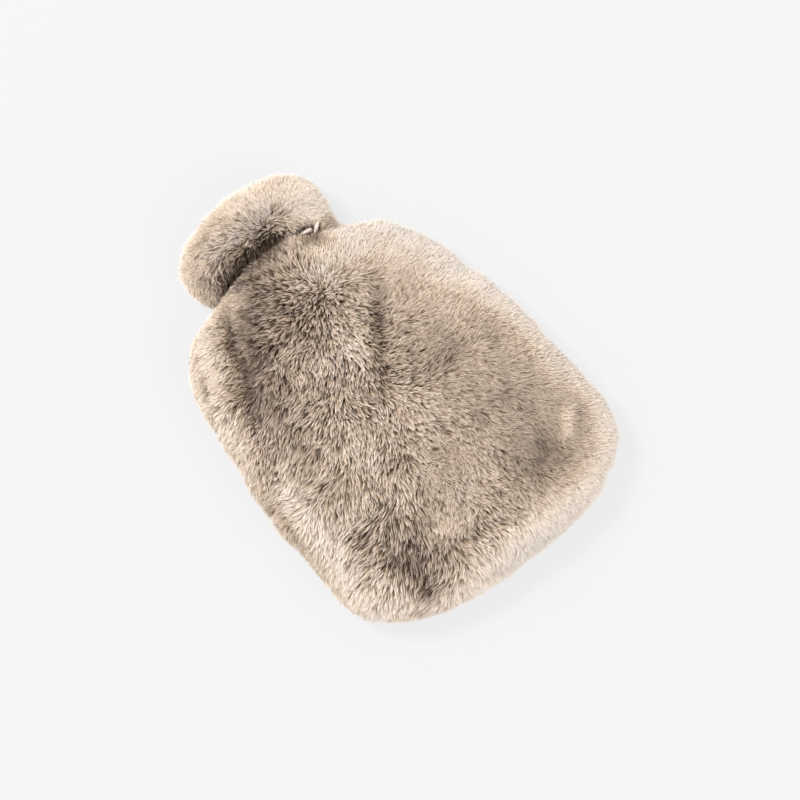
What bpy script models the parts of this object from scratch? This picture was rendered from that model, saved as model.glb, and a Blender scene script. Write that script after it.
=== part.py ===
"""Plush fur cover for a hot water bottle, lying on its back.

Three pieces of long-pile fur cloth make a hollow pouch that stays in the plump shape of a filled bottle:
a front panel, a back panel that comes round on to the left shoulder, and a collar that stands round the
neck and is drawn in at its mouth. Each solid is as thick as its backing and pile together.

Metres, +Z up. The bottle's axis runs along Y with the neck at +Y, seen from above with +X to the right.
The origin is at the middle of the footprint, on the surface that the cover lies on.
"""

import math
from collections import namedtuple

import bmesh
import bpy
from mathutils import Vector

# ---- driving sizes ----
LENGTH = 0.360  # base to the top of the collar
BASE_Y = -LENGTH / 2
BASE_X = 0.019  # where the slightly slanting base reaches lowest
BASE_HALF = 0.014  # half of the straight stretch there
SIDE_Z = 0.025  # height of the widest part of the sides
NECK_Z = 0.026  # the same at the neck

SIDE_WALL = 0.015  # backing and pile at the sides
TOP_WALL = 0.014
UNDER_WALL = 0.011  # the pile is pressed down underneath
NARROWING_Y = 0.100  # from here to the neck the cloth is squeezed
NECK_SIDE_WALL = 0.012
NECK_TOP_WALL = 0.009
NECK_UNDER_WALL = 0.005
SEAM_GAP = 0.0004  # between sewn edges

# How squarely the cloth is filled: 2 is an ellipse, more is boxier
TOP_FULLNESS = 2.4
UNDER_FULLNESS = 2.6
UNDER_PRESS = 1.25  # the underside would hang this much lower, and the surface presses it flat

# Rounded base corners, as far up the side as they reach, and how squarely
LEFT_CORNER = 0.082
LEFT_FULLNESS = 2.4
RIGHT_CORNER = 0.070
RIGHT_FULLNESS = 2.6
TOP_ROLL = 0.046  # how far in from the base the top still rises
UNDER_ROLL = 0.022

# ---- grids ----
BASE_ROWS = 8
ROWS_PER_SPAN = 3
COLLAR_ROWS_PER_SPAN = 2
FRONT_COLUMNS = 34
BACK_COLUMNS = 30
COLLAR_COLUMNS = 48
EDGE_CROWDING = 0.10  # how far the columns draw together at a panel's edges
RIGHT_SEAM = 0.0  # degrees round from the widest point on the right

Row = namedtuple("Row", "left_x left_y mid_y right_x right_y top under side_z")
Wall = namedtuple("Wall", "side top under")
Fold = namedtuple("Fold", "x y long wide turn depth")
Wave = namedtuple("Wave", "length turn phase height")

# The body above the base corners: where each row across starts, bows to and ends, its crown and underside
BODY_ROWS = (
    Row(-0.1280, -0.098, -0.098, 0.1278, -0.098, 0.0625, 0.000, SIDE_Z),
    Row(-0.1274, -0.060, -0.060, 0.1262, -0.060, 0.0660, 0.000, SIDE_Z),
    Row(-0.1254, -0.020, -0.020, 0.1215, -0.020, 0.0665, 0.000, SIDE_Z),
    Row(-0.1230, 0.020, 0.020, 0.1140, 0.020, 0.0655, 0.000, SIDE_Z),
    Row(-0.1175, 0.056, 0.058, 0.1055, 0.056, 0.0635, 0.000, SIDE_Z),
    Row(-0.1090, 0.086, 0.091, 0.0915, 0.084, 0.0605, 0.000, SIDE_Z),
    Row(-0.0970, 0.102, 0.108, 0.0755, 0.097, 0.0575, 0.001, SIDE_Z),
    Row(-0.0850, 0.112, 0.117, 0.0650, 0.104, 0.0535, 0.003, SIDE_Z),
    Row(-0.0700, 0.117, 0.124, 0.0585, 0.109, 0.0490, 0.006, NECK_Z),
    Row(-0.0590, 0.1195, 0.129, 0.0550, 0.111, 0.0440, 0.009, NECK_Z),
)
NECK_ROW = BODY_ROWS[-1]

# The collar from the neck to its rounded lip, then back down inside
COLLAR_ROWS = (
    NECK_ROW,
    Row(-0.0615, 0.1240, 0.136, 0.0580, 0.116, 0.0500, 0.004, NECK_Z),
    Row(-0.0640, 0.1300, 0.144, 0.0605, 0.124, 0.0550, 0.000, NECK_Z),
    Row(-0.0662, 0.1420, 0.156, 0.0610, 0.137, 0.0585, 0.000, 0.027),
    Row(-0.0640, 0.1530, 0.167, 0.0585, 0.149, 0.0570, 0.000, 0.028),
    Row(-0.0575, 0.1625, 0.1745, 0.0545, 0.160, 0.0530, 0.003, 0.028),
    Row(-0.0490, 0.1695, 0.1785, 0.0465, 0.1670, 0.0480, 0.008, 0.028),
    Row(-0.0385, 0.1745, 0.180, 0.0360, 0.1730, 0.0430, 0.013, 0.028),
    Row(-0.0310, 0.1720, 0.1765, 0.0260, 0.1705, 0.0395, 0.017, 0.028),
    Row(-0.0300, 0.1640, 0.168, 0.0250, 0.1620, 0.0385, 0.018, 0.028),
    Row(-0.0360, 0.1480, 0.153, 0.0310, 0.1440, 0.0400, 0.015, 0.028),
    Row(-0.0410, 0.1370, 0.143, 0.0360, 0.1330, 0.0390, 0.014, NECK_Z),
)

# The left seam's place on the body, in degrees over the top from the right-hand side, by distance along Y
LEFT_SEAM = (
    (-0.180, 180.0),
    (-0.098, 180.0),
    (-0.060, 164.0),
    (-0.020, 150.0),
    (0.020, 138.0),
    (0.058, 128.0),
    (0.091, 121.0),
    (0.108, 120.0),
    (0.117, 123.0),
    (0.129, 130.0),
)
SEAM_DEPTH = 0.38  # how far into the cloth its edges are drawn where they are sewn
FOLD_LIMIT = 0.45  # how far into it a fold may reach
SEAM_WIDTH = 0.008

# Partings and dents in the pile of the front, each an oval trough. A negative depth is a raised tuft.
FOLDS = (
    Fold(0.024, 0.018, 0.036, 0.009, 58.0, 0.0034),  # the parting right of the middle
    Fold(0.004, 0.082, 0.020, 0.016, 20.0, 0.0026),  # the whorl that the nap spreads from
    Fold(0.064, -0.124, 0.026, 0.013, 25.0, 0.0050),  # the dent near the right base corner
    Fold(0.092, -0.112, 0.016, 0.009, 60.0, -0.0030),  # the tuft pushed up beside it
    Fold(-0.066, -0.128, 0.030, 0.009, 100.0, 0.0042),  # ruffles near the left base corner
    Fold(-0.085, -0.084, 0.012, 0.008, 70.0, 0.0036),
    Fold(-0.052, 0.050, 0.050, 0.012, 105.0, 0.0020),  # the slack beside the left seam
    Fold(-0.097, 0.082, 0.018, 0.006, 65.0, 0.0030),  # the slack on the left shoulder
    Fold(0.036, 0.112, 0.011, 0.006, -25.0, 0.0050),  # the tuck at the right of the neck
    Fold(0.048, 0.104, 0.009, 0.008, 0.0, -0.0035),
)
COLLAR_FOLDS = (
    Fold(-0.020, 0.138, 0.042, 0.008, 6.0, 0.0048),  # the collar's lower edge rolled under
    Fold(-0.030, 0.152, 0.020, 0.006, 12.0, -0.0022),
    Fold(0.004, 0.150, 0.014, 0.008, 80.0, 0.0026),
    Fold(0.032, 0.125, 0.012, 0.006, -20.0, 0.0045),
    Fold(0.048, 0.119, 0.008, 0.007, 0.0, -0.0040),
)

# The pile clumps into low tufts: waves across the cover that together leave it uneven
TUFTS = (
    Wave(0.047, 20.0, 0.4, 0.0007),
    Wave(0.038, 75.0, 1.9, 0.0007),
    Wave(0.029, 130.0, 3.1, 0.0006),
    Wave(0.033, 165.0, 5.0, 0.0005),
    Wave(0.085, 50.0, 2.2, 0.0010),
)

FUR_COLOUR = (0.60, 0.50, 0.41, 1.0)
COLLAR_COLOUR = (0.64, 0.55, 0.46, 1.0)
FUR_ROUGHNESS = 0.9


def rounding(distance, reach, fullness):
    """From 0 at an end to 1 where its rounding stops."""
    left = max(0.0, 1.0 - distance / reach)
    return (1.0 - left**fullness) ** (1.0 / fullness)


def between(first, second, share):
    return first + (second - first) * share


def crowded(share):
    """Even steps from 0 to 1 drawn together at both ends."""
    return share - EDGE_CROWDING * math.sin(2 * math.pi * share)


def curve_through(before, start, end, after, share):
    """Catmull-Rom: a smooth run from start to end that knows its neighbours."""
    return 0.5 * (
        2 * start
        + (end - before) * share
        + (2 * before - 5 * start + 4 * end - after) * share**2
        + (3 * start - before - 3 * end + after) * share**3
    )


def smooth_rows(rows, steps):
    """The rows with steps - 1 more worked out between each two."""
    made = []
    for i in range(len(rows) - 1):
        before = rows[max(i - 1, 0)]
        after = rows[min(i + 2, len(rows) - 1)]
        for step in range(steps):
            values = zip(before, rows[i], rows[i + 1], after)
            row = Row(*(curve_through(*v, step / steps) for v in values))
            made.append(row._replace(under=max(row.under, 0.0)))
    return made + [rows[-1]]


def base_rows():
    """Straight rows from the base seam up to the first body row, close together where the base is round."""
    first = BODY_ROWS[0]
    rows = []
    for i in range(BASE_ROWS):
        d = (first.left_y - BASE_Y) * (1 - math.cos(math.pi / 2 * i / BASE_ROWS))
        left = max(rounding(d, LEFT_CORNER, LEFT_FULLNESS) * (BASE_X - first.left_x), BASE_HALF)
        right = max(rounding(d, RIGHT_CORNER, RIGHT_FULLNESS) * (first.right_x - BASE_X), BASE_HALF)
        y = BASE_Y + d
        top = between(SIDE_Z, first.top, rounding(d, TOP_ROLL, 2.2))
        under = SIDE_Z * (1 - rounding(d, UNDER_ROLL, 2.2))
        rows.append(Row(BASE_X - left, y, y, BASE_X + right, y, top, under, SIDE_Z))
    return rows


def wall_at(row):
    """The cloth's thickness at a row of the body: none at the base seam, and thin at the gathered neck."""
    reach = rounding(row.mid_y - BASE_Y, TOP_ROLL, 2.2)
    neck = min(1.0, max(0.0, (row.mid_y - NARROWING_Y) / (NECK_ROW.mid_y - NARROWING_Y)))
    return Wall(
        between(SIDE_WALL, NECK_SIDE_WALL, neck) * reach,
        between(TOP_WALL, NECK_TOP_WALL, neck) * reach,
        between(UNDER_WALL, NECK_UNDER_WALL, neck) * reach,
    )


def inset(row):
    """The same row on the inside of the cloth. It keeps its place at the neck and moves in at the base."""
    wall = wall_at(row)
    share = (NECK_ROW.mid_y - row.mid_y) / (NECK_ROW.mid_y - BASE_Y)
    inwards = SIDE_WALL * share
    return row._replace(
        left_x=row.left_x + wall.side,
        right_x=row.right_x - wall.side,
        left_y=row.left_y + inwards,
        mid_y=row.mid_y + inwards,
        right_y=row.right_y + inwards,
        top=max(row.top - wall.top, row.side_z),
        under=min(row.under + wall.under, row.side_z),
    )


def point_on(row, degrees, bow=None):
    """The point of a row at this turn: 0 on the right, 90 on top, 180 on the left, 270 underneath.

    bow is the row whose sweep across it follows, for an inner row that shares its outer row's end face."""
    bow = bow or row
    turn = math.radians(degrees)
    cos, sin = math.cos(turn), math.sin(turn)
    over = sin >= 0
    power = 2 / (TOP_FULLNESS if over else UNDER_FULLNESS)
    half = (row.right_x - row.left_x) / 2
    x = (row.left_x + row.right_x) / 2 + math.copysign(half * abs(cos) ** power, cos)
    if over:
        z = row.side_z + (row.top - row.side_z) * abs(sin) ** power
    else:
        hang = (row.side_z - row.under) * UNDER_PRESS * abs(sin) ** power
        z = max(row.side_z - hang, row.under)
    across = (x - (bow.left_x + bow.right_x) / 2) / ((bow.right_x - bow.left_x) / 2)
    end_y = bow.left_y if across < 0 else bow.right_y
    return Vector((x, between(bow.mid_y, end_y, across**2), z))


def seam_turn(y):
    """Where the left seam runs at this distance along the body."""
    for (y0, turn0), (y1, turn1) in zip(LEFT_SEAM, LEFT_SEAM[1:]):
        if y <= y1:
            return between(turn0, turn1, (y - y0) / (y1 - y0))
    return LEFT_SEAM[-1][1]


def fold_depth(folds, point):
    """How far these folds lower the pile at a point."""
    depth = 0.0
    for fold in folds:
        turn = math.radians(fold.turn)
        dx, dy = point.x - fold.x, point.y - fold.y
        along = (dx * math.cos(turn) + dy * math.sin(turn)) / fold.long
        aside = (dy * math.cos(turn) - dx * math.sin(turn)) / fold.wide
        depth += fold.depth * math.exp(-(along**2) - aside**2)
    return depth


def outward(point, row):
    """The direction straight out of the cloth at a point of a row, or nothing where the row is flat."""
    middle, half = (row.left_x + row.right_x) / 2, (row.right_x - row.left_x) / 2
    over = point.z >= row.side_z
    rise = (row.top - row.side_z) if over else (row.side_z - row.under)
    if rise < 1e-4:
        return Vector()
    power = (TOP_FULLNESS if over else UNDER_FULLNESS) - 1
    across, up = (point.x - middle) / half, (point.z - row.side_z) / rise
    way = (math.copysign(abs(across) ** power, across) / half, 0, math.copysign(abs(up) ** power, up) / rise)
    return Vector(way).normalized()


def tufted(point, row):
    """The point raised or lowered by the tufts, which fade out underneath."""
    height = 0.0
    for wave in TUFTS:
        turn = math.radians(wave.turn)
        along = point.x * math.cos(turn) + point.y * math.sin(turn)
        height += wave.height * math.sin(2 * math.pi * along / wave.length + wave.phase)
    point = point + outward(point, row) * height * min(1.0, point.z / row.side_z)
    point.z = max(point.z, 0.0)
    return point


def lowered(point, folds, row):
    """The point with the folds pressed in, on the upper half only."""
    if point.z <= row.side_z or row.top <= row.side_z:
        return point
    upright = (point.z - row.side_z) / (row.top - row.side_z)
    depth = min(fold_depth(folds, point), FOLD_LIMIT * wall_at(row).top)
    return point - Vector((0, 0, depth * min(1.0, 2 * upright)))


def panel_grid(rows, columns, start_of, end_of, outside):
    """Rows of points across a panel, from its edge at start_of(row) to that at end_of(row), closest near
    the edges, and each edge moved half of the seam's gap into the panel."""
    grid = []
    for outer in rows:
        row = outer if outside else inset(outer)
        bow = outer if outer is rows[-1] else row
        start, end = start_of(outer), end_of(outer)
        turns = [between(start, end, crowded(k / columns)) for k in range(columns + 1)]
        points = [point_on(row, turn, bow) for turn in turns]
        if outer is rows[0]:
            middle = (start + end) / 2 - 360 * (end > 200)
            for point in points:
                point.z = row.side_z + math.copysign(SEAM_GAP / 2, math.sin(math.radians(middle)))
        else:
            points[0] += (points[1] - points[0]).normalized() * SEAM_GAP / 2
            points[-1] += (points[-2] - points[-1]).normalized() * SEAM_GAP / 2
        if outside:
            points = [tufted(sunk_at_seam(lowered(p, FOLDS, row), row), row) for p in points]
        if outer is rows[-1]:
            points = [p - Vector((0, SEAM_GAP / 2, 0)) for p in points]
        grid.append(points)
    return grid


def sunk_at_seam(point, row):
    """The point drawn towards the middle of the pouch where it lies near the left seam on the top."""
    seam = point_on(row, seam_turn(row.mid_y))
    rise = max(0.0, seam.z - row.side_z) / (row.top - row.side_z + 1e-6)
    near = math.exp(-((Vector((point.x - seam.x, 0, point.z - seam.z)).length / SEAM_WIDTH) ** 2))
    return point - outward(point, row) * SEAM_DEPTH * wall_at(row).top * near * rise


def closed_panel(outer, inner):
    """A solid from an outer and an inner grid of the same size, joined round their edges."""
    mesh = bmesh.new()
    out = [[mesh.verts.new(p) for p in row] for row in outer]
    ins = [[mesh.verts.new(p) for p in row] for row in inner]
    last_row, last = len(out) - 1, len(out[0]) - 1
    for i in range(last_row):
        for k in range(last):
            mesh.faces.new((out[i][k], out[i][k + 1], out[i + 1][k + 1], out[i + 1][k]))
            mesh.faces.new((ins[i][k], ins[i + 1][k], ins[i + 1][k + 1], ins[i][k + 1]))
        for k in (0, last):  # the same diagonal on both panels, so that the twisted strips don't cross
            mesh.faces.new((out[i][k], out[i + 1][k], ins[i + 1][k]))
            mesh.faces.new((out[i][k], ins[i + 1][k], ins[i][k]))
    for k in range(last):
        mesh.faces.new((out[0][k], ins[0][k], ins[0][k + 1], out[0][k + 1]))
        mesh.faces.new((out[last_row][k], out[last_row][k + 1], ins[last_row][k + 1], ins[last_row][k]))
    return mesh


def front_panel():
    rows = base_rows() + smooth_rows(BODY_ROWS, ROWS_PER_SPAN)
    grids = [
        panel_grid(rows, FRONT_COLUMNS, lambda row: RIGHT_SEAM, lambda row: seam_turn(row.mid_y), outside)
        for outside in (True, False)
    ]
    return closed_panel(*grids)


def back_panel():
    rows = base_rows() + smooth_rows(BODY_ROWS, ROWS_PER_SPAN)
    grids = [
        panel_grid(rows, BACK_COLUMNS, lambda row: seam_turn(row.mid_y), lambda row: 360 + RIGHT_SEAM, outside)
        for outside in (True, False)
    ]
    return closed_panel(*grids)


def collar():
    """A ring of rows that runs up the outside, over the lip and back down inside to the gathered neck."""
    inner_neck = inset(NECK_ROW)
    rows = smooth_rows(COLLAR_ROWS + (inner_neck,), COLLAR_ROWS_PER_SPAN)
    mesh = bmesh.new()
    rings = []
    lip = max(range(len(rows)), key=lambda i: rows[i].mid_y)
    for i, row in enumerate(rows):
        bow = NECK_ROW if row is rows[-1] else row
        points = [point_on(row, 360 * k / COLLAR_COLUMNS, bow) for k in range(COLLAR_COLUMNS)]
        if i <= lip:
            points = [tufted(lowered(p, COLLAR_FOLDS, row), row) for p in points]
        if row is rows[0] or row is rows[-1]:
            points = [p + Vector((0, SEAM_GAP / 2, 0)) for p in points]
        rings.append([mesh.verts.new(p) for p in points])
    for i, ring in enumerate(rings):
        after = rings[(i + 1) % len(rings)]
        for k in range(COLLAR_COLUMNS):
            n = (k + 1) % COLLAR_COLUMNS
            mesh.faces.new((ring[k], ring[n], after[n], after[k]))
    return mesh


def fur(name, colour):
    material = bpy.data.materials.new(name)
    material.use_nodes = True
    shader = material.node_tree.nodes["Principled BSDF"]
    shader.inputs["Base Color"].default_value = colour
    shader.inputs["Roughness"].default_value = FUR_ROUGHNESS
    shader.inputs["Metallic"].default_value = 0.0
    material.diffuse_color = colour
    return material


def add_solid(name, mesh, material, collection):
    bmesh.ops.recalc_face_normals(mesh, faces=mesh.faces)
    data = bpy.data.meshes.new(name)
    mesh.to_mesh(data)
    mesh.free()
    data.materials.append(material)
    data.shade_smooth()
    collection.objects.link(bpy.data.objects.new(name, data))


def main():
    for old in list(bpy.data.objects):
        bpy.data.objects.remove(old)
    cover = bpy.data.collections.new("hot_water_bottle_cover")
    bpy.context.scene.collection.children.link(cover)
    body_fur = fur("body_fur", FUR_COLOUR)
    add_solid("front_panel", front_panel(), body_fur, cover)
    add_solid("back_panel", back_panel(), body_fur, cover)
    add_solid("collar", collar(), fur("collar_fur", COLLAR_COLOUR), cover)


main()
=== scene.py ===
import math

import bmesh
import bpy
import numpy as np
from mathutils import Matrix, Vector
from mathutils.bvhtree import BVHTree
from mathutils.kdtree import KDTree


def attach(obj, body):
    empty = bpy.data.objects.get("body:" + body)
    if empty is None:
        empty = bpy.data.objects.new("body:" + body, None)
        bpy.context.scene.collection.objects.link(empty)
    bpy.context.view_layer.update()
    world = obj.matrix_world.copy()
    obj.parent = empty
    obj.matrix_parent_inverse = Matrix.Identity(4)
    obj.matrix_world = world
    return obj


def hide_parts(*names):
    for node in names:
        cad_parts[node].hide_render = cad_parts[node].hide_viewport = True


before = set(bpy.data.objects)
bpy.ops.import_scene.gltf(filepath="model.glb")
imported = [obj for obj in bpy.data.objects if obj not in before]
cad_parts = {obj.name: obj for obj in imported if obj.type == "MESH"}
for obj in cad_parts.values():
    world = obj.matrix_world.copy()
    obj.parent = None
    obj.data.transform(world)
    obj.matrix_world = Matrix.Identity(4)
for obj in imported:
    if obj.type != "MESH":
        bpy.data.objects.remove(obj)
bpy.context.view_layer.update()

random = np.random.default_rng(20)

whole = {
    "cloth": 0.0022,  # thickness of the knitted backing
    "pile": 0.0130,  # the most that the pile stands off it
    "least pile": 0.0040,
    "open pile": 0.015,  # cloth and pile together, where the ray through them meets nothing
    "tone steps": 24,  # shades in the fur's palette
    "seam gap": 0.001,
    "seam softness": 0.008,  # how far from a seam the pile leans over it
    "seam turn": 0.3,  # and how far round an edge
}


def unit(v):
    return v / np.maximum(np.linalg.norm(v, axis=-1, keepdims=True), 1e-9)


def smoothstep(x, low, high):
    t = np.clip((x - low) / (high - low), 0, 1)
    return t * t * (3 - 2 * t)


def waves(p, size, seed, count=7):
    # soft noise from -1 to 1 about: sines in scattered directions
    pick = np.random.default_rng(seed)
    total = np.zeros(len(p))
    for _ in range(count):
        way = unit(pick.normal(size=3))
        length, phase = size * pick.uniform(0.7, 1.5), pick.uniform(0, 7)
        total += np.sin(p @ way * (2 * math.pi / length) + phase)
    return total / math.sqrt(count)


def weldedMesh(node):
    mesh = bmesh.new()
    mesh.from_mesh(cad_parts[node].data)
    bmesh.ops.remove_doubles(mesh, verts=mesh.verts, dist=1e-5)
    bmesh.ops.triangulate(mesh, faces=mesh.faces)
    mesh.verts.ensure_lookup_table()
    mesh.faces.ensure_lookup_table()
    points = np.array([v.co[:] for v in mesh.verts])
    faces = np.array([[v.index for v in f.verts] for f in mesh.faces])
    mesh.free()
    return points, faces


nodes = {name: weldedMesh(name) for name in ("front_panel", "back_panel", "collar")}
allPoints = np.concatenate([p for p, f in nodes.values()])
starts = np.cumsum([0] + [len(p) for p, f in nodes.values()])
allFaces = np.concatenate([f + s for (p, f), s in zip(nodes.values(), starts)])
solid = BVHTree.FromPolygons([Vector(p) for p in allPoints], allFaces.tolist())

# a level sheet inside the pouch: the faces that look away from it are the outer ones
core = {
    "along": (-0.11, 0.05, 0.11, 0.17),
    "half width": (0.075, 0.07, 0.03, 0.02),
    "ends": (-0.12, 0.165),
    "height": 0.026,
}


def outerSurface(node):
    # the faces that carry the pile, and the normal at each point
    points, faces = nodes[node]
    a, b, c = (points[faces[:, k]] for k in range(3))
    cross = np.cross(b - a, c - a)
    normal, middle = unit(cross), (a + b + c) / 3
    reach = np.interp(middle[:, 1], core["along"], core["half width"])
    nearest = np.stack(
        [
            np.clip(middle[:, 0], -reach, reach),
            np.clip(middle[:, 1], *core["ends"]),
            np.full(len(middle), core["height"]),
        ],
        axis=1,
    )
    outside = ((middle - nearest) * normal).sum(axis=1) > 0
    offFace = 5e-5
    for i in np.flatnonzero(outside):  # a face that lies in a seam carries none
        start = Vector(middle[i] + normal[i] * offFace)
        outside[i] = solid.ray_cast(start, Vector(normal[i]), whole["seam gap"])[0] is None
    skin = faces[outside]
    normals = np.zeros_like(points)
    for k in range(3):
        np.add.at(normals, skin[:, k], cross[outside])
    return skin, unit(normals)


def standing(node):
    # the way the pile stands at each point, evened out over the seams, and its height
    points = nodes[node][0]
    skin, normals = surfaces[node]
    used = np.unique(skin)
    stand, pile = normals.copy(), np.zeros(len(points))
    inFace, deepest, rounds = 5e-4, 0.03, 3
    for i in used:
        apart = ((skinPoints - points[i]) ** 2).sum(axis=1)
        near = np.exp(-apart / whole["seam softness"] ** 2)
        near *= np.clip(skinNormals @ normals[i] + whole["seam turn"], 0, 1)
        stand[i] = unit((skinNormals * near[:, None]).sum(axis=0))
        start = Vector(points[i] - normals[i] * inFace)
        hit = solid.ray_cast(start, Vector(-stand[i]), deepest)
        pile[i] = (hit[3] if hit[0] else whole["open pile"]) - whole["cloth"]
    pile = np.clip(pile, whole["least pile"], whole["pile"])
    for _ in range(rounds):  # evened out over the neighbours
        total, count = pile.copy(), np.ones(len(points))
        for j, k in ((0, 1), (1, 2), (2, 0)):
            for m, n in ((j, k), (k, j)):
                np.add.at(total, skin[:, m], pile[skin[:, n]])
                np.add.at(count, skin[:, m], 1)
        pile[used] = (total / count)[used]
    return stand, pile


def outlinePoints(cell=0.002, perFace=120):
    # the cover's outline seen from above, as the middles of the squares along it
    share = random.dirichlet((1, 1, 1), size=perFace)
    corners = allPoints[allFaces][:, None, :, :2]
    spots = (corners * share[None, :, :, None]).sum(axis=2).reshape(-1, 2)
    cells = np.floor(spots / cell).astype(int)
    low = cells.min(axis=0) - 1
    filled = np.zeros(cells.max(axis=0) - low + 2, dtype=bool)
    filled[tuple((cells - low).T)] = True
    inner = filled.copy()
    for axis in (0, 1):
        for step in (1, -1):
            inner &= np.roll(filled, step, axis)
    return (np.argwhere(filled & ~inner) + low + 0.5) * cell


outline = outlinePoints()


def fromEdge(p):
    # how far each point lies inside the outline
    return np.array([np.hypot(*(outline - q[:2]).T).min() for q in p])


surfaces = {name: outerSurface(name) for name in nodes}
used = {name: np.unique(skin) for name, (skin, normals) in surfaces.items()}
skinPoints = np.concatenate([nodes[name][0][used[name]] for name in nodes])
skinNormals = np.concatenate([surfaces[name][1][used[name]] for name in nodes])
surfaces = {name: (*surfaces[name], *standing(name), fromEdge(nodes[name][0])) for name in nodes}
for name, (skin, normals, stand, pile, inside) in surfaces.items():
    low, high = pile[pile > 0].min().round(4), pile.max().round(4)
    print("surface", name, len(skin), "faces, pile", low, high)


def newMaterial(name):
    material = bpy.data.materials.new(name)
    material.use_nodes = True
    tree = material.node_tree
    return material, tree, tree.nodes["Principled BSDF"]


def srgb(code):
    parts = [int(code[i : i + 2], 16) / 255 for i in (0, 2, 4)]
    return [p / 12.92 if p <= 0.04045 else ((p + 0.055) / 1.055) ** 2.4 for p in parts] + [1.0]


def ramp(tree, source, stops):
    node = tree.nodes.new("ShaderNodeValToRGB")
    band = node.color_ramp
    while len(band.elements) < len(stops):
        band.elements.new(0.5)
    for element, (place, code) in zip(band.elements, stops):
        element.position, element.color = place, srgb(code)
    tree.links.new(source, node.inputs["Fac"])
    return node.outputs["Color"]


# each kind of hair's colours, from root to tip
hairLook = {
    "dark": ((0.0, "120a05"), (0.45, "1c1209"), (0.75, "302014"), (1.0, "402c1d")),
    "light": (
        (0.0, "2a1e15"),
        (0.46, "655040"),
        (0.68, "c0a68b"),
        (0.84, "e4d0bb"),
        (1.0, "ecdecf"),
    ),
    # the pale hair carries the painted light of the rims and the lit folds
    "pale": (
        (0.0, "85745f"),
        (0.40, "bdab97"),
        (0.64, "d7ccc1"),
        (0.82, "e4dad0"),
        (1.0, "e8dfd6"),
    ),
    "light tones": (0.0, 0.8),  # dark hair turns light over these tones
    "pale tones": (0.7, 1.0),  # and light hair pale
    "roughness": 0.62,
    "specular": 0.12,
    "sheen": 0.14,
    "sheen roughness": 0.5,
}


def furMaterial(name):
    # the tone runs from dark hair through light hair to the pale hair, which paints the light on
    # the rims
    material, tree, shader = newMaterial(name)
    along, tone = tree.nodes.new("ShaderNodeAttribute"), tree.nodes.new("ShaderNodeAttribute")
    along.attribute_name, tone.attribute_name = "along", "tone"
    colour = ramp(tree, along.outputs["Fac"], hairLook["dark"])
    for kind in ("light", "pale"):
        share, mix = tree.nodes.new("ShaderNodeMapRange"), tree.nodes.new("ShaderNodeMix")
        low, high = hairLook[kind + " tones"]
        share.inputs["From Min"].default_value, share.inputs["From Max"].default_value = low, high
        mix.data_type = "RGBA"
        tree.links.new(tone.outputs["Fac"], share.inputs["Value"])
        tree.links.new(share.outputs["Result"], mix.inputs["Factor"])
        tree.links.new(colour, mix.inputs[6])  # A and B of the colours
        tree.links.new(ramp(tree, along.outputs["Fac"], hairLook[kind]), mix.inputs[7])
        colour = mix.outputs[2]
    tree.links.new(colour, shader.inputs["Base Color"])
    shader.inputs["Roughness"].default_value = hairLook["roughness"]
    shader.inputs["Specular IOR Level"].default_value = hairLook["specular"]
    shader.inputs["Sheen Weight"].default_value = hairLook["sheen"]
    shader.inputs["Sheen Roughness"].default_value = hairLook["sheen roughness"]
    return material


backingLook = {
    "undercoat": ((0.3, "241c16"), (0.7, "4a3d32")),  # between the hairs' roots
    "undercoat scale": 900,
    "undercoat detail": 3,
    "undercoat roughness": 0.95,
    "knit": ((0.1, "bcaa97"), (0.8, "8a7867")),  # the fine knit on the inside
    "stitches": 800,  # to a metre
    "stitch randomness": 0.35,
    "stitch depth": 0.0004,
    "stitch strength": 0.4,
    "knit roughness": 0.9,
}


def undercoatMaterial():
    material, tree, shader = newMaterial("undercoat")
    place = tree.nodes.new("ShaderNodeTexCoord")
    noise = tree.nodes.new("ShaderNodeTexNoise")
    noise.inputs["Scale"].default_value = backingLook["undercoat scale"]
    noise.inputs["Detail"].default_value = backingLook["undercoat detail"]
    tree.links.new(place.outputs["Object"], noise.inputs["Vector"])
    colour = ramp(tree, noise.outputs["Fac"], backingLook["undercoat"])
    tree.links.new(colour, shader.inputs["Base Color"])
    shader.inputs["Roughness"].default_value = backingLook["undercoat roughness"]
    return material


def knitMaterial():
    material, tree, shader = newMaterial("knit_backing")
    place = tree.nodes.new("ShaderNodeTexCoord")
    stitches = tree.nodes.new("ShaderNodeTexVoronoi")
    stitches.inputs["Scale"].default_value = backingLook["stitches"]
    stitches.inputs["Randomness"].default_value = backingLook["stitch randomness"]
    tree.links.new(place.outputs["Object"], stitches.inputs["Vector"])
    distance = stitches.outputs["Distance"]
    tree.links.new(ramp(tree, distance, backingLook["knit"]), shader.inputs["Base Color"])
    bump = tree.nodes.new("ShaderNodeBump")
    bump.invert = True
    bump.inputs["Strength"].default_value = backingLook["stitch strength"]
    bump.inputs["Distance"].default_value = backingLook["stitch depth"]
    tree.links.new(distance, bump.inputs["Height"])
    tree.links.new(bump.outputs["Normal"], shader.inputs["Normal"])
    shader.inputs["Roughness"].default_value = backingLook["knit roughness"]
    return material


hair, undercoat, knit = furMaterial("hair"), undercoatMaterial(), knitMaterial()
print("materials made")

backing = {
    "floor gap": 0.001,
    "lip": (0.160, 0.176),  # where the collar's lip starts and ends, along y
    "lip drawn in": 0.004,  # clear of the rim's short hairs
}


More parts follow.
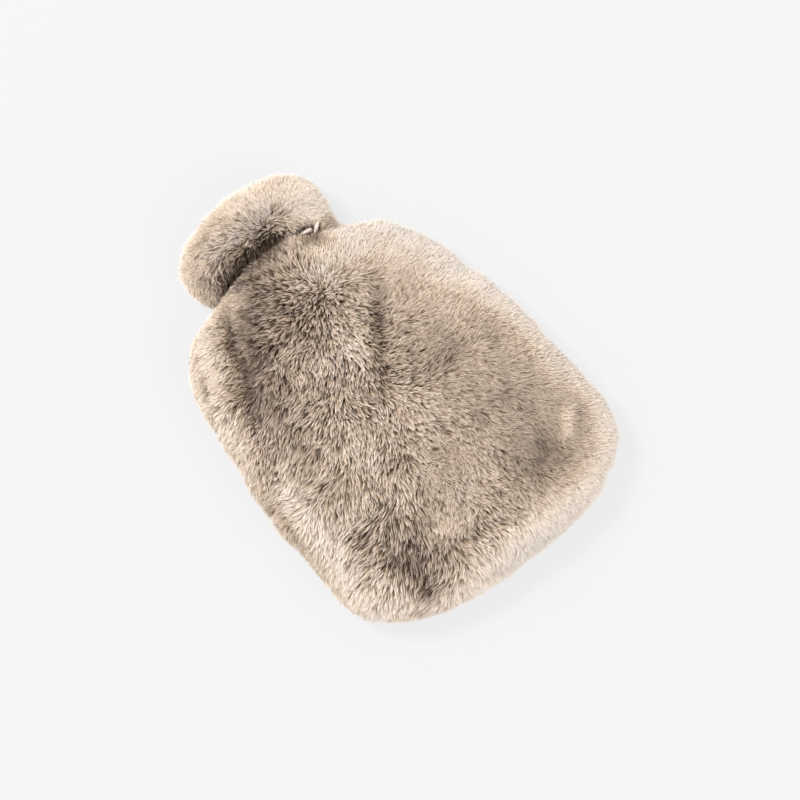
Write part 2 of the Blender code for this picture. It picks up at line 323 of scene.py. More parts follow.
def makeBacking(node):
    # the cloth under the pile: the CAD shell with its furry side brought in to the hairs' roots
    points, faces = nodes[node]
    skin, normals, stand, pile, inside = surfaces[node]
    used = np.unique(skin)
    moved = points.copy()
    moved[used] -= stand[used] * pile[used, None]
    moved[used, 2] = np.maximum(moved[used, 2], backing["floor gap"])
    if node == "collar":
        lip = smoothstep(moved[:, 1], *backing["lip"])[:, None]
        moved += lip * backing["lip drawn in"] * np.array([0.0, -1.0, 0.0])
    data = bpy.data.meshes.new(node + "_cloth")
    data.from_pydata(moved.tolist(), [], faces.tolist())
    furry = {tuple(f) for f in skin.tolist()}
    data.materials.append(undercoat)
    data.materials.append(knit)
    for face, corners in zip(data.polygons, faces.tolist()):
        face.material_index = 0 if tuple(corners) in furry else 1
        face.use_smooth = True
    cloth = bpy.data.objects.new(node + "_cloth", data)
    bpy.context.scene.collection.objects.link(cloth)
    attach(cloth, "root")
    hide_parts(node)


for name in ("back_panel", "front_panel", "collar"):
    makeBacking(name)
print("backings made")

# the pile on every piece, in metres, and in pile heights for what leans
fur = {
    "density": 3.0e6,  # strands for each square metre
    "collar density": 3.8e6,
    "under density": 0.9e6,  # on the side that the cover lies on
    "width": 0.00042,
    "least height": 0.0075,
    "height": 0.95,  # of the room between the cloth and the CAD surface
    "under height": 0.75,
    "uneven height": (0.05, 0.02, 5),  # how much, how large, seed
    "short hairs": 0.10,
    "short rim hairs": 0.06,  # more of them at the rim
    "lean": 0.72,
    "rim lean": 0.30,
    "under lean": 1.2,
    "wispy lean": 0.25,  # more on the left, where the locks are longer
    "wispy rim lean": 0.50,
    "whorl lean": 0.5,  # share of the lean that is left in the whorl
    "collar whorl lean": 0.95,
    "whorl size": 0.04,
    "lock": 0.0065,  # distance between the locks' middles
    "locking": 0.10,
    "clump": 0.0012,  # and between the clumps that they divide into
    "clumping": 0.87,
    "most clumping": 0.93,
    "rim clumping": 0.12,
    "wispy clumping": 0.40,
    "calm clumps": 1.2,  # more clumps where the pile is smooth
    "calm loosening": 0.60,
    "uneven clumping": (0.75, 1.1),
    "uneven lean": (0.75, 1.25),
    "root back": 0.5,  # how far the root stands back, as a share of the lean
    "bend": (0.60, 0.25),  # the bend's share of the height and of the lean
    "stray": 0.0010,  # how far roots stray, which hides the seams
    "spread": 0.0012,  # and tips
    "lowest": {"tip": 0.0004, "bend": 0.0008, "root": 0.0015},  # above the floor
}

# one strand's shape and shading
strand = {
    "along": (0.10, 0.58, 0.58, 1.0),  # the kite's four corners, from root to tip
    "across": (0.0, -0.5, 0.5, 0.0),
    "widths": (0.7, 1.3),
    "upward": 0.7,  # how much it turns to face straight up
    "twist": 0.35,
    "crisp": (0.6, 1.4),  # how much its own face counts in the shading: least, and added if rough
    "round": 1.6,
    "calm": 0.8,  # less rough by this where the pile is smooth
    "rim": 0.6,
}

# the hair's tone: 0 is dark, 0.8 light and 1 pale
tones = {
    "collar": 0.71,
    "body": 0.70,
    "lock": 0.05,  # how much locks, clumps and single hairs differ
    "clump": 0.08,
    "hair": 0.10,
    "calm": -0.09,  # added where the pile is smooth
    # the rims' painted light: their hair turns pale, for the light around and through the hair
    # tips; the left rim gets painted shade, the upper right corner more painted light
    "collar rim": 0.82,
    "body rim": 0.95,
    "left rim": -0.12,  # painted shade added there
    "corner rim": 0.04,
    "rim hair": 0.04,  # differences at the rim
    "wispy lock": 0.06,
    "wispy clump": 0.09,
    "rim marks": 0.7,  # how much of the marks' shade the rim takes
    "clouds": ((0.02, 0.05, 8), (0.03, 0.016, 9)),  # how much, how large, seed
    "dark share": 0.26,  # of the hairs, darker than the rest
    "dark hairs": 0.3,  # of that share, by single hairs
    "dark clumps": 0.8,  # and by whole clumps
    "marked darks": 0.5,  # more where a mark adds clumping
    "calm darks": 0.20,  # share of them that is left where the pile is smooth
    "rim darks": 0.25,
    "calm differences": 0.4,
    "darker": 0.46,  # by this much
    "under": -0.1,
}

# where the pile changes, in metres
zones = {
    "body calm": (-0.02, 0.10),  # smoother to the right, along x
    "collar calm": (0.02, 0.05),
    "wispy": (0.03, 0.075),  # longer locks to the left
    "wispy slant": 0.25,
    "left": (0.0, 0.05),
    "rim": (0.004, 0.024),  # the rim, in from the outline, where the hair is painted pale for the light around it
    "right": (-0.04, 0.04),
    "right rim": 0.012,  # how much broader it is there
    "corner rim": 0.022,  # and in the upper right corner
    "body corner": (0.09, 0.15),  # that corner, along x + y
    "collar corner": (0.16, 0.21),
    "rim wave": (0.0025, 0.03, 6),  # how much, how large, seed
    "upward": (-0.3, 0.45),  # marks fade where the cover's sides turn down
}


def scatter(node):
    # points spread over a node's furry side, with the way that the pile stands there, its height,
    # how far inside the outline it is, and whether the cover lies on it
    points = nodes[node][0]
    skin, normals, stand, pile, inside = surfaces[node]
    a, b, c = (points[skin[:, k]] for k in range(3))
    cross = np.cross(b - a, c - a)
    area, flat = np.linalg.norm(cross, axis=1) / 2, unit(cross)
    lowest, rounding = 0.006, 0.7
    under = (flat[:, 2] < -0.8) & ((a + b + c)[:, 2] / 3 < lowest)
    dense = fur["collar density" if node == "collar" else "density"]
    weight = area * np.where(under, fur["under density"], dense)
    count = int(weight.sum())
    pick = random.choice(len(skin), size=count, p=weight / weight.sum())
    r, s = np.sqrt(random.random(count)), random.random(count)
    share = np.stack([1 - r, r * (1 - s), r * s], axis=1)
    corner, cornerNormal = points[skin[pick]], normals[skin[pick]]  # count, corner, xyz
    p = (corner * share[..., None]).sum(axis=1)
    n = unit((stand[skin[pick]] * share[..., None]).sum(axis=1))
    off = ((p[:, None] - corner) * cornerNormal).sum(axis=2)  # rounds the flat faces off
    p += rounding * ((-off[..., None] * cornerNormal) * share[..., None]).sum(axis=1)
    h, edge = ((values[skin[pick]] * share).sum(axis=1) for values in (pile, inside))
    return p, n, h, edge, under[pick]


# places where the pile is parted or raised, or given painted shade and painted light: an oval's
# middle, half sizes and turn in
# # degrees, and what it adds to the tone (mostly painted shade and painted light), the clumping
# and the height
marks = (
    # x, y, long, wide, turn, tone, clumping, height
    (0.004, 0.088, 0.024, 0.024, 0, 0.14, 0.24, -0.02),  # the whorl, with painted light on it
    # painted shade on the slopes around the whorl and at the shoulders
    (-0.030, 0.072, 0.026, 0.020, 0, -0.15, 0.08, 0.00),
    (-0.022, 0.088, 0.018, 0.016, 0, -0.20, 0.10, 0.00),
    (0.000, 0.072, 0.014, 0.008, 0, -0.12, 0.10, 0.00),
    (0.058, 0.098, 0.030, 0.012, -40, -0.06, 0.00, 0.00),
    (0.090, 0.050, 0.026, 0.014, -60, -0.10, 0.00, 0.00),
    (-0.053, 0.084, 0.032, 0.011, 62, -0.30, -0.45, -0.02),  # painted shade in the hollow beside the left seam
    # painted shadow where the collar's shadow falls below the neck
    (-0.020, 0.107, 0.034, 0.013, 15, -0.34, -0.10, 0.00),
    (-0.044, 0.108, 0.014, 0.010, 40, 0.04, -0.40, 0.00),
    (-0.008, 0.127, 0.040, 0.008, 8, -0.55, -0.30, -0.08),  # painted shade in the neck's crease
    # painted shade under the tuck
    (0.0375, 0.1125, 0.012, 0.0065, -47, -0.76, 0.00, -0.08),
    (0.024, 0.108, 0.012, 0.010, 0, -0.16, 0.00, 0.00),
    (-0.0605, 0.096, 0.018, 0.0040, 60, -0.38, -0.10, -0.20),  # painted shade along the seam's groove
    (-0.0695, 0.070, 0.020, 0.0042, 70, -0.38, -0.10, -0.20),
    (-0.055, 0.108, 0.012, 0.004, 60, -0.24, -0.20, -0.05),
    (-0.060, 0.062, 0.022, 0.010, 66, -0.10, 0.00, 0.00),
    (-0.079, 0.050, 0.022, 0.009, 66, -0.27, 0.00, -0.10),
    (-0.092, 0.016, 0.024, 0.009, 74, -0.22, 0.00, -0.04),
    (-0.062, 0.035, 0.036, 0.018, 75, -0.20, 0.00, 0.00),
    (-0.082, -0.020, 0.026, 0.012, 75, -0.20, 0.00, -0.04),
    (-0.085, 0.090, 0.034, 0.010, 70, 0.10, -0.50, 0.03),  # the band beside it, with painted light on it and painted shade in the crease along its outer roll
    (-0.097, 0.102, 0.024, 0.010, 52, -0.20, 0.00, 0.00),
    (-0.1035, 0.0715, 0.016, 0.003, 64, -0.42, 0.10, -0.08),
    (-0.101, 0.054, 0.012, 0.010, 0, 0.05, 0.50, 0.00),
    (-0.078, 0.086, 0.016, 0.005, 66, -0.02, 0.30, 0.00),
    # painted light inside the left rim, and painted shade on its outermost edge
    (-0.106, -0.050, 0.060, 0.009, 84, 0.20, 0.00, 0.02),
    (-0.1235, -0.045, 0.066, 0.009, 86, -0.44, 0.00, 0.00),
    (-0.119, 0.062, 0.040, 0.006, 80, -0.26, 0.00, 0.00),
    (-0.092, -0.128, 0.022, 0.018, 0, 0.10, 0.00, 0.00),
    (0.027, 0.030, 0.036, 0.007, 54, -0.36, 0.30, -0.12),  # the parting, with painted shade in it and painted light beside it
    (0.002, 0.028, 0.022, 0.012, 60, 0.16, 0.00, 0.00),
    (0.076, -0.090, 0.060, 0.036, 90, -0.18, 0.00, 0.00),  # painted shade on the lower right side
    # small patches of painted shade and painted light across the body, some adding clumping
    (0.030, -0.012, 0.044, 0.018, 0, -0.11, 0.00, 0.00),
    (-0.020, -0.006, 0.014, 0.012, 0, -0.06, 0.05, 0.00),
    (0.072, 0.090, 0.016, 0.0035, -68, -0.14, 0.00, 0.00),  # a fold at the right shoulder, with painted shade beside it and painted light along it
    (0.078, 0.092, 0.016, 0.0022, -68, 0.14, 0.00, 0.06),
    (0.060, -0.010, 0.010, 0.014, 0, -0.12, 0.00, 0.00),
    (0.080, 0.002, 0.012, 0.022, 0, 0.13, 0.00, 0.00),
    (0.012, -0.080, 0.018, 0.018, 0, -0.08, 0.00, 0.00),
    (0.102, -0.030, 0.040, 0.014, -70, -0.12, 0.00, 0.00),
    (-0.014, -0.104, 0.050, 0.036, 0, -0.14, 0.00, 0.00),
    (-0.042, -0.104, 0.014, 0.012, 0, -0.08, 0.00, 0.00),
    (-0.042, -0.028, 0.012, 0.014, 0, 0.10, 0.00, 0.00),
    (-0.072, -0.105, 0.028, 0.044, 0, 0.10, 0.22, 0.00),
    (-0.098, -0.045, 0.014, 0.070, 0, 0.12, 0.00, 0.00),
    (-0.104, 0.004, 0.010, 0.024, 0, -0.16, 0.00, 0.00),
    (-0.018, 0.010, 0.016, 0.010, 0, -0.12, 0.00, 0.00),
    (-0.062, 0.032, 0.018, 0.010, 0, -0.12, 0.00, 0.00),
    (0.112, -0.105, 0.016, 0.040, 0, -0.08, 0.00, 0.00),
    (0.070, -0.068, 0.018, 0.012, 0, -0.10, 0.00, 0.00),
    (0.044, -0.048, 0.012, 0.010, 0, -0.08, 0.00, 0.00),
    (0.002, -0.090, 0.012, 0.010, 0, -0.10, 0.00, 0.00),
    (0.024, 0.090, 0.012, 0.012, 0, 0.14, 0.00, 0.00),
    (-0.080, -0.130, 0.010, 0.010, 0, 0.10, 0.00, 0.00),
    (0.028, -0.150, 0.016, 0.010, 0, 0.09, 0.00, 0.00),
    (-0.060, -0.050, 0.016, 0.012, 0, -0.12, 0.00, 0.00),
    (-0.060, -0.010, 0.016, 0.012, 0, -0.12, 0.00, 0.00),
    (-0.060, -0.112, 0.012, 0.010, 0, -0.14, 0.00, 0.00),
    (-0.015, 0.012, 0.040, 0.060, 0, 0.00, 0.07, 0.00),
    (0.004, -0.072, 0.024, 0.016, 0, -0.14, 0.00, 0.00),
    (-0.060, -0.082, 0.018, 0.018, 0, -0.12, 0.20, 0.00),
    (-0.040, -0.132, 0.034, 0.014, 0, -0.13, 0.10, 0.00),
    (0.060, -0.121, 0.024, 0.016, 20, -0.25, -0.10, -0.04),  # the dent at the base, with painted shade in it and a painted highlight on the tuft beside it
    (0.084, -0.110, 0.018, 0.007, 50, -0.04, -0.10, -0.04),
    (0.093, -0.113, 0.011, 0.0045, 50, 0.42, -0.20, 0.12),
    (0.106, -0.118, 0.018, 0.008, 50, -0.12, 0.00, 0.00),
    (-0.083, -0.085, 0.010, 0.007, 60, -0.27, 0.10, -0.12),  # ruffles at the base's other end, with painted shade in their hollows
    (-0.074, -0.112, 0.014, 0.008, 62, -0.30, 0.10, -0.10),
    (-0.067, -0.134, 0.016, 0.009, 70, -0.36, 0.10, -0.12),
    (-0.066, -0.150, 0.011, 0.007, 80, -0.30, 0.10, -0.10),
    (-0.050, -0.125, 0.030, 0.024, 70, -0.12, 0.00, 0.00),
    # painted light along the base's rim
    (-0.004, -0.164, 0.050, 0.016, 0, 0.18, -0.10, 0.00),
)
# the same for the collar: mostly painted shade in the crease where it rolls under, and painted
# light on its top
collarMarks = (
    (-0.018, 0.1310, 0.026, 0.0100, 10, -0.92, 0.05, -0.08),  # painted shade where the collar rolls under at the neck
    (-0.028, 0.141, 0.024, 0.008, 15, -0.18, 0.00, -0.03),
    (-0.004, 0.158, 0.020, 0.0028, 12, -0.22, 0.10, -0.10),  # painted shade in a parting in the roll
    # painted light on the collar's top
    (-0.001, 0.1465, 0.036, 0.0125, 10, 0.44, 0.10, 0.03),
    (0.008, 0.139, 0.014, 0.007, 10, 0.18, 0.20, 0.00),
    (0.0375, 0.1125, 0.012, 0.0065, -47, -0.76, 0.00, -0.08),
    (0.012, 0.135, 0.007, 0.006, 0, -0.25, 0.20, 0.00),
    (0.028, 0.146, 0.007, 0.004, 60, -0.25, 0.20, 0.00),
    (-0.020, 0.170, 0.024, 0.009, 15, -0.36, 0.00, 0.00),
    (0.000, 0.129, 0.016, 0.005, 20, -0.16, 0.00, -0.08),
    (0.038, 0.164, 0.018, 0.012, -20, -0.20, 0.00, 0.00),
    (-0.054, 0.146, 0.012, 0.018, 0, -0.20, 0.00, 0.00),
    (0.022, 0.124, 0.018, 0.0050, -25, -0.52, 0.00, -0.05),
    (0.006, 0.133, 0.016, 0.006, 0, -0.15, 0.25, 0.00),
    (0.036, 0.135, 0.016, 0.010, 0, 0.16, 0.00, 0.00),
    (-0.030, 0.150, 0.008, 0.004, 70, 0.14, 0.10, 0.06),
    (-0.050, 0.138, 0.018, 0.014, 60, -0.20, 0.00, 0.00),
    (-0.044, 0.121, 0.014, 0.008, 50, -0.26, 0.00, 0.00),
    (-0.040, 0.137, 0.008, 0.006, 50, 0.12, 0.00, 0.00),
    (-0.020, 0.128, 0.018, 0.006, 20, -0.15, 0.00, 0.00),
)


def marked(p, table):
    # what the marks add at these points: tone, which is mostly painted shade and painted light,
    # clumping, height
    total = np.zeros((len(p), 3))
    for x, y, long, wide, turn, *adds in table:
        c, s = math.cos(math.radians(turn)), math.sin(math.radians(turn))
        dx, dy = p[:, 0] - x, p[:, 1] - y
        near = np.exp(-(((dx * c + dy * s) / long) ** 2) - ((dy * c - dx * s) / wide) ** 2)
        total += near[:, None] * np.array(adds)
    return total.T


# the way the nap is brushed: out from a whorl, and pulled aside in places
nap = {
    "collar whorl": (0.012, 0.135),
    "body whorl": (0.012, 0.080),
    "over the crease": (1.4, -0.142, -0.126),  # how much, and from where to where
    "collar end": ((-0.5, -1.2, 0.0), 0.025, 0.05),
    "left pull": 0.9,
    "left": (0.02, 0.09),
    "above": (-0.06, 0.03),
    "parting y": (-0.01, 0.015, 0.03, 0.055),
    "parting x": (0.002, 0.020, 0.030, 0.046),
    "parting width": (0.006, 0.010),
    "parting top": (-0.065, -0.045),
    "right pull": (0.75, -0.10, 0.0),
    "right up": (0.8, -0.05, 0.02, 0.04, 0.08),  # and from where to where it ends
    "fan": (2.5, 0.0, 0.12),  # spreads it towards the base's corners
    "rolled forward": 0.6,
    "down the sides": 0.35,
    "swirls": ((0.35, 0.045, 3), (0.3, 0.016, 4)),  # how much, how large, seed
}


def flow(p, n, node):
    # the way the nap is brushed, in the plane of the cloth, and the distance from its whorl
    x, y = p[:, 0], p[:, 1]
    middle = nap["collar whorl" if node == "collar" else "body whorl"]
    way = np.stack([x - middle[0], y - middle[1], np.zeros(len(p))], axis=1)
    far = np.linalg.norm(way, axis=1)
    way = unit(way)
    if node == "collar":
        pull, low, high = nap["over the crease"]
        way[:, 1] -= pull * smoothstep(-y, low, high)
        aside, low, high = nap["collar end"]
        way += np.array(aside) * smoothstep(-x, low, high)[:, None]
    else:
        left = smoothstep(-x, *nap["left"]) * smoothstep(-y, *nap["above"])
        way[:, 0] -= nap["left pull"] * left
        parting = np.interp(y, nap["parting y"], nap["parting x"])
        before, after = nap["parting width"]
        right = smoothstep(x, parting - before, parting + after)
        right *= smoothstep(-y, *nap["parting top"])
        pull, low, high = nap["right pull"]
        way[:, 0] += pull * right * smoothstep(y, low, high)
        pull, low, high = nap["fan"]
        way[:, 0] += pull * x * smoothstep(-y, low, high)
        pull, low, high, top, end = nap["right up"]
        way[:, 1] += pull * right * smoothstep(y, low, high) * (1 - smoothstep(y, top, end))
    if node == "back_panel":
        way[:, 0] -= nap["rolled forward"] * (n[:, 2] > 0)
    way[:, 2] -= nap["down the sides"] * (1 - np.abs(n[:, 2]))
    turn = sum(most * waves(p, size, seed) for most, size, seed in nap["swirls"])
    c, s = np.cos(turn), np.sin(turn)
    turned = [way[:, 0] * c - way[:, 1] * s, way[:, 0] * s + way[:, 1] * c, way[:, 2]]
    way = np.stack(turned, axis=1)
    return unit(way - n * (way * n).sum(axis=1, keepdims=True)), far


def findZones(p, n, node, edge, under):
    # how much each point belongs to the rim, the smooth right side and the left's longer locks
    kind = "collar" if node == "collar" else "body"
    x, y = p[:, 0], p[:, 1]
    corner = smoothstep(x + y, *zones[kind + " corner"])
    start, broad = zones["rim"]
    broad = broad + zones["right rim"] * smoothstep(x, *zones["right"])
    broad = broad + zones["corner rim"] * corner
    most, size, seed = zones["rim wave"]
    rim = 1 - smoothstep(edge + most * waves(p, size, seed), start, broad)
    rim[under] = 0
    calm = smoothstep(x, *zones[kind + " calm"])
    wispy = smoothstep(-x - zones["wispy slant"] * y, *zones["wispy"]) * (node != "collar")
    return rim, calm, wispy


def drawTogether(p, tip, stray, rim, calm, wispy, clumpAdd):
    # draws the tips into locks, and those into clumps, and says which ones each strand belongs to
    count = len(p)
    rims = fur["rim clumping"] + fur["wispy clumping"] * wispy
    mine = []
    for spacing, inner in ((fur["lock"], fur["locking"]), (fur["clump"], fur["clumping"])):
        often = 1 + fur["calm clumps"] * calm
        size = max(int(count / fur["density"] / spacing**2), 8)
        leaders = random.choice(count, size=size, replace=False, p=often / often.sum())
        tree = KDTree(size)
        for i, k in enumerate(leaders):
            tree.insert(Vector(p[k]), i)
        tree.balance()
        mine.append(np.array([tree.find(Vector(q))[1] for q in p + stray * 0.5]))
        strength = inner * (1 - rim) * (1 - fur["calm loosening"] * calm)
        strength = strength + rims * rim * inner + clumpAdd * (1 - rim) * inner
        strength *= random.uniform(*fur["uneven clumping"], count)
        drawn = np.clip(strength, 0, fur["most clumping"])
        tip += (tip[leaders[mine[-1]]] - tip) * drawn[:, None]
    return mine


def inSteps(tone):
    steps = whole["tone steps"]
    return (np.floor(np.clip(tone, 0, 1) * (steps - 1e-6)) + 0.5) / steps


def chooseTone(p, node, mine, rim, calm, wispy, under, paintedShadingAdd, clumpAdd):
    kind = "collar" if node == "collar" else "body"
    count, clump = len(p), mine[1]
    x, y = p[:, 0], p[:, 1]
    lockOwn, clumpOwn = (random.normal(size=m.max() + 1)[m] for m in mine)
    own = random.normal(size=count)
    chance = tones["dark share"] * (1 - (1 - tones["calm darks"]) * calm)
    chance = (chance + tones["marked darks"] * clumpAdd) * (1 - (1 - tones["rim darks"]) * rim)
    darker = random.random(count) < tones["dark hairs"] * chance
    darker |= random.random(clump.max() + 1)[clump] < tones["dark clumps"] * chance
    differ = tones["lock"] * lockOwn + tones["clump"] * clumpOwn + tones["hair"] * own
    tone = tones[kind] + differ * (1 - (1 - tones["calm differences"]) * calm)
    clouds = sum(most * waves(p, size, seed) for most, size, seed in tones["clouds"])
    tone += clouds + tones["calm"] * calm
    # the rim's painted light: pale hair, with painted shade on the left rim and more painted light
    # in the upper right corner
    pale = tones[kind + " rim"]
    if kind == "body":
        pale = pale + tones["left rim"] * smoothstep(-x, *zones["left"])
    pale = pale + tones["corner rim"] * smoothstep(x + y, *zones["body corner"])
    differ = tones["wispy lock"] * lockOwn + tones["wispy clump"] * clumpOwn
    pale = pale + tones["rim hair"] * own + wispy * differ
    # the marks' painted shade and painted light, with less of it on the rim
    shade = paintedShadingAdd * (1 - (1 - tones["rim marks"]) * rim)
    tone += (pale - tone) * rim + shade - tones["darker"] * darker
    tone[under] += tones["under"]
    return inSteps(tone)


def growStrands(node):
    # root, bend and tip of every strand, and its shade
    p, n, h, edge, under = scatter(node)
    h = np.maximum(h, fur["least height"])
    way, far = flow(p, n, node)
    way[under] *= -1
    count = len(p)
    adds = marked(p, collarMarks if node == "collar" else marks)
    # the marks' tone is painted shade and painted light, faded where the cover's sides turn down
    paintedShadingAdd, clumpAdd, heightAdd = adds * smoothstep(n[:, 2], *zones["upward"])
    rim, calm, wispy = findZones(p, n, node, edge, under)

    lean = (fur["lean"] + fur["wispy lean"] * wispy) * (1 - rim)
    lean = lean + (fur["rim lean"] + fur["wispy rim lean"] * wispy) * rim
    atWhorl = fur["collar whorl lean" if node == "collar" else "whorl lean"]
    lean *= atWhorl + (1 - atWhorl) * smoothstep(far, 0.0, fur["whorl size"])
    lean[under] = fur["under lean"]
    tall = np.where(under, fur["under height"], fur["height"])
    most, size, seed = fur["uneven height"]
    tall = tall * (1 + most * waves(p, size, seed) + heightAdd)
    shorter = np.abs(random.normal(size=count))
    tall *= 1 - shorter * (fur["short hairs"] + fur["short rim hairs"] * rim)
    lateral = lean * h * random.uniform(*fur["uneven lean"], count)
    stray = random.normal(size=(count, 3)) * fur["stray"]
    root = p - n * h[:, None] - way * (fur["root back"] * lateral)[:, None] + stray
    spread = random.normal(size=(count, 3)) * fur["spread"]
    spread -= n * (spread * n).sum(axis=1, keepdims=True)
    tip = root + n * (h * tall)[:, None] + way * lateral[:, None] + spread

    mine = drawTogether(p, tip, stray, rim, calm, wispy, clumpAdd)
    up, along = fur["bend"]
    bend = root + n * (h * tall * up)[:, None] + way * (lateral * along)[:, None]
    strands = {"root": root, "bend": bend, "tip": tip}
    for key, lowest in fur["lowest"].items():
        strands[key][:, 2] = np.maximum(strands[key][:, 2], lowest)
    tone = chooseTone(p, node, mine, rim, calm, wispy, under, paintedShadingAdd, clumpAdd)
    rough = (1 - strand["calm"] * calm) * (1 - strand["rim"] * rim)
    return {**strands, "normal": n, "tone": tone, "rough": rough, "p": p}


# the tuck where the collar's end is caught in the neck seam, and the two folds of cloth beside it;
# their tones paint the tuck's shade and the light on the two folds, and two dark tufts stand for
# the shade in the crease
tufts = (
    # x, y, z, long, wide, tall, turn, lean x, lean y, tone, strands
    (0.0485, 0.1125, 0.034, 0.010, 0.006, 0.008, 75, 0.007, -0.003, 0.42, 1300),
    (0.0455, 0.1165, 0.034, 0.0045, 0.0022, 0.0085, 40, 0.004, -0.002, 0.54, 260),
    (0.0405, 0.1176, 0.0365, 0.0032, 0.0008, 0.0085, 36, 0.0046, 0.0033, 0.99, 500),
    (0.0325, 0.1208, 0.0365, 0.0030, 0.0007, 0.0085, -10, 0.0050, -0.0009, 0.99, 500),
    (0.0316, 0.1240, 0.034, 0.0034, 0.0006, 0.0080, 8, 0.0, 0.0, 0.10, 90),
    (0.0388, 0.1212, 0.034, 0.0020, 0.0006, 0.0070, 36, 0.0, 0.0, 0.46, 50),
)


mound = {
    "edge": 0.8,  # how much its height drops towards the edge
    "roots": 0.7,  # how far out the roots stand, as a share of its size
    "fan": 0.35,  # and how much farther the tips
    "root back": 0.5,
    "bend": (0.1, 0.65, 0.25),  # the bend's share of the size, the height and the lean
    "uneven lean": (0.6, 1.2),
    "stray": (0.6, 0.0008),  # of its width, and at the most
    "tone": 0.12,  # how much its hairs differ
}


def growTufts():
    # strands on small mounds, each standing out from its mound's middle and leaning one way
    parts = []
    for x, y, z, long, wide, tall, turn, leanX, leanY, tone, count in tufts:
        r, t = np.sqrt(random.random(count)), random.uniform(0, 2 * math.pi, count)
        a, b = r * np.cos(t), r * np.sin(t)
        c, s = math.cos(math.radians(turn)), math.sin(math.radians(turn))
        none = np.zeros(count)
        out = np.stack([long * a * c - wide * b * s, long * a * s + wide * b * c, none], axis=1)
        rise = np.stack([none, none, tall * np.sqrt(1 - mound["edge"] * r**2)], axis=1)
        uneven = random.uniform(*mound["uneven lean"], count)[:, None]
        lean = np.array([leanX, leanY, 0.0]) * uneven
        root = np.array([x, y, z]) + mound["roots"] * out - mound["root back"] * lean
        share, most = mound["stray"]
        stray = random.normal(size=(count, 3)) * min(share * wide, most)
        aside, up, along = mound["bend"]
        part = {
            "root": root,
            "bend": root + aside * out + up * rise + along * lean,
            "tip": root + mound["fan"] * out + rise + lean + stray,
            "normal": unit(0.5 * out / long + rise / tall),
            "tone": inSteps(tone + mound["tone"] * random.normal(size=count)),
            "rough": none,
            "p": root,
        }
        parts.append(part)
    return {key: np.concatenate([part[key] for part in parts]) for key in parts[0]}


def outwards(s):
    # halfway between the pile's own stand and straight up, or down on the underside
    up = np.where(s["normal"][:, 2] < -0.35, -1.0, 1.0)[:, None] * np.array([0.0, 0.0, 1.0])
    return s["normal"] + strand["upward"] * up


def strandMesh(name, s):
    # each strand is a long narrow kite, bent at its widest place, that faces outwards
    count = len(s["root"])
    chord, out = unit(s["tip"] - s["root"]), outwards(s)
    side = unit(np.cross(chord, out + strand["twist"] * random.normal(size=(count, 3))))
    facing = unit(np.cross(side, chord))
    facing *= np.where((facing * out).sum(axis=1) < 0, -1.0, 1.0)[:, None]
    broad = fur["width"] * random.uniform(*strand["widths"], count)
    alongs, sides = np.array(strand["along"]), np.array(strand["across"])
    rows = []
    for share, hand in zip(alongs, sides):
        a, b, c = (1 - share) ** 2, 2 * share * (1 - share), share**2
        middle = a * s["root"] + b * s["bend"] + c * s["tip"]
        rows.append(middle + side * (hand * broad)[:, None])
    points = np.stack(rows, axis=1)  # count, corner, xyz
    per = len(alongs)
    pattern = np.array([[0, 2, 1], [1, 2, 3]])
    made = unit(np.cross(points[:, 2] - points[:, 1], points[:, 3] - points[:, 1]))
    turned = (made * facing).sum(axis=1) < 0  # these corners go round the other way
    corners = np.where(turned[:, None, None], pattern[:, ::-1], pattern)
    faces = (np.arange(count)[:, None, None] * per + corners).reshape(-1, 3)
    data = bpy.data.meshes.new(name)
    data.vertices.add(count * per)
    data.vertices.foreach_set("co", points.reshape(-1).astype(np.float32))
    data.loops.add(len(faces) * 3)
    data.loops.foreach_set("vertex_index", faces.reshape(-1).astype(np.int32))
    data.polygons.add(len(faces))
    data.polygons.foreach_set("loop_start", np.arange(0, len(faces) * 3, 3, dtype=np.int32))
    data.polygons.foreach_set("use_smooth", np.ones(len(faces), dtype=bool))
    data.update()
    for key, values in (("along", np.tile(alongs, count)), ("tone", np.repeat(s["tone"], per))):
        attribute = data.attributes.new(key, "FLOAT", "POINT")
        attribute.data.foreach_set("value", values.astype(np.float32))
    steps = whole["tone steps"]
    u = (np.floor(s["tone"] * steps)[:, None] + 0.5 + 0.8 * sides) / steps
    v = np.tile(0.02 + 0.96 * alongs, (count, 1))
    uv = np.stack([u, v], axis=2).reshape(-1, 2)[faces.reshape(-1)]
    layer = data.uv_layers.new(name="OFBake")
    layer.data.foreach_set("uv", uv.reshape(-1).astype(np.float32))
    least, added = strand["crisp"]
    crisp = (least + added * s["rough"])[:, None]
    curved = side[:, None] * sides[None, :, None] * strand["round"]
    soft = (s["normal"] + crisp * facing)[:, None] + curved
    data.normals_split_custom_set_from_vertices(unit(soft).reshape(-1, 3).tolist())
    data.materials.append(hair)
    piece = bpy.data.objects.new(name, data)
    bpy.context.scene.collection.objects.link(piece)
    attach(piece, "root")
    print("fur", name, count, "strands", len(faces), "triangles")


# a node's fur is one piece for each stretch along y
bands = {
    "front_panel": (
        ("front_fur_base", -1, -0.075),
        ("front_fur_middle", -0.075, 0.015),
        ("front_fur_top", 0.015, 1),
    ),
    "back_panel": (("back_fur_base", -1, -0.03), ("back_fur_top", -0.03, 1)),
    "collar": (("collar_fur", -1, 1),),
}


def growBands(node):
    strands = growStrands(node)
    if node == "collar":
        tucked = growTufts()
        strands = {key: np.concatenate([value, tucked[key]]) for key, value in strands.items()}
    y = strands["p"][:, 1]
    for name, low, high in bands[node]:
        inside = (y >= low) & (y < high)
        part = {key: value[inside] for key, value in strands.items()}
        strandMesh(name, part)


for name in bands:
    growBands(name)

studio = {
    "floor": (0.07, 0.07, 0.07, 1),
    "floor glow": 0.774,
    "floor height": -0.0004,
    "world": 0.80,
    "aim": (0, 0, 0.03),
    "key": {"place": (-0.5, 1.7, 2.9), "size": 1.0, "power": 128.0},
    "fill": {"place": (0.9, -1.9, 2.4), "size": 1.6, "power": 40.0},
}


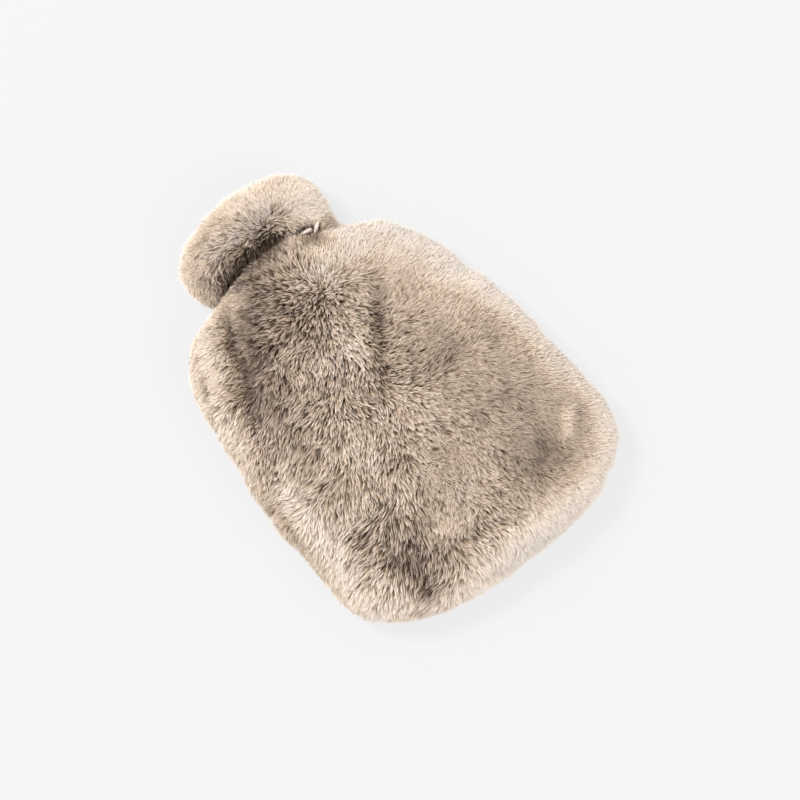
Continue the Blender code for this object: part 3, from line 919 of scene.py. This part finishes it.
def makeFloor():
    data = bpy.data.meshes.new("floor")
    data.from_pydata([(-3, -3, 0), (3, -3, 0), (3, 3, 0), (-3, 3, 0)], [], [(0, 1, 2, 3)])
    floor = bpy.data.objects.new("floor", data)
    bpy.context.scene.collection.objects.link(floor)
    floor.location.z = studio["floor height"]
    material, tree, shader = newMaterial("pale_floor")
    shader.inputs["Base Color"].default_value = studio["floor"]
    shader.inputs["Emission Color"].default_value = (1, 1, 1, 1)
    shader.inputs["Emission Strength"].default_value = studio["floor glow"]
    shader.inputs["Roughness"].default_value = 0.9
    shader.inputs["Specular IOR Level"].default_value = 0.1
    data.materials.append(material)


def makeLights():
    world = bpy.data.worlds.new("studio")
    world.use_nodes = True
    background = world.node_tree.nodes["Background"]
    background.inputs["Color"].default_value = (1, 1, 1, 1)
    background.inputs["Strength"].default_value = studio["world"]
    bpy.context.scene.world = world
    for name in ("key", "fill"):
        place = studio[name]["place"]
        light = bpy.data.lights.new(name, "AREA")
        light.shape, light.size, light.energy = "DISK", studio[name]["size"], studio[name]["power"]
        lamp = bpy.data.objects.new(name, light)
        lamp.location = place
        aim = Vector(studio["aim"]) - Vector(place)
        lamp.rotation_euler = aim.to_track_quat("-Z", "Y").to_euler()
        bpy.context.scene.collection.objects.link(lamp)


camera = {
    "centre": (0.0073, -0.0221),  # what the frame's middle looks at
    "turn": 39.5,  # degrees between the cover's axis and the picture's upright
    "frame": 0.605,  # metres across the frame there
    "distance": 2.6,
    "height": 0.03,
    "sensor": 36,
}


def makeCamera():
    data = bpy.data.cameras.new("camera")
    data.sensor_width = camera["sensor"]
    data.lens = camera["sensor"] * camera["distance"] / camera["frame"]
    data.clip_end = 20
    eye = bpy.data.objects.new("camera", data)
    eye.location = (*camera["centre"], camera["height"] + camera["distance"])
    eye.rotation_euler = (0, 0, -math.radians(camera["turn"]))
    bpy.context.scene.collection.objects.link(eye)
    bpy.context.scene.camera = eye


makeFloor()
makeLights()
makeCamera()
bpy.context.scene.view_settings.view_transform = "Standard"
print("stage, lights and camera made")
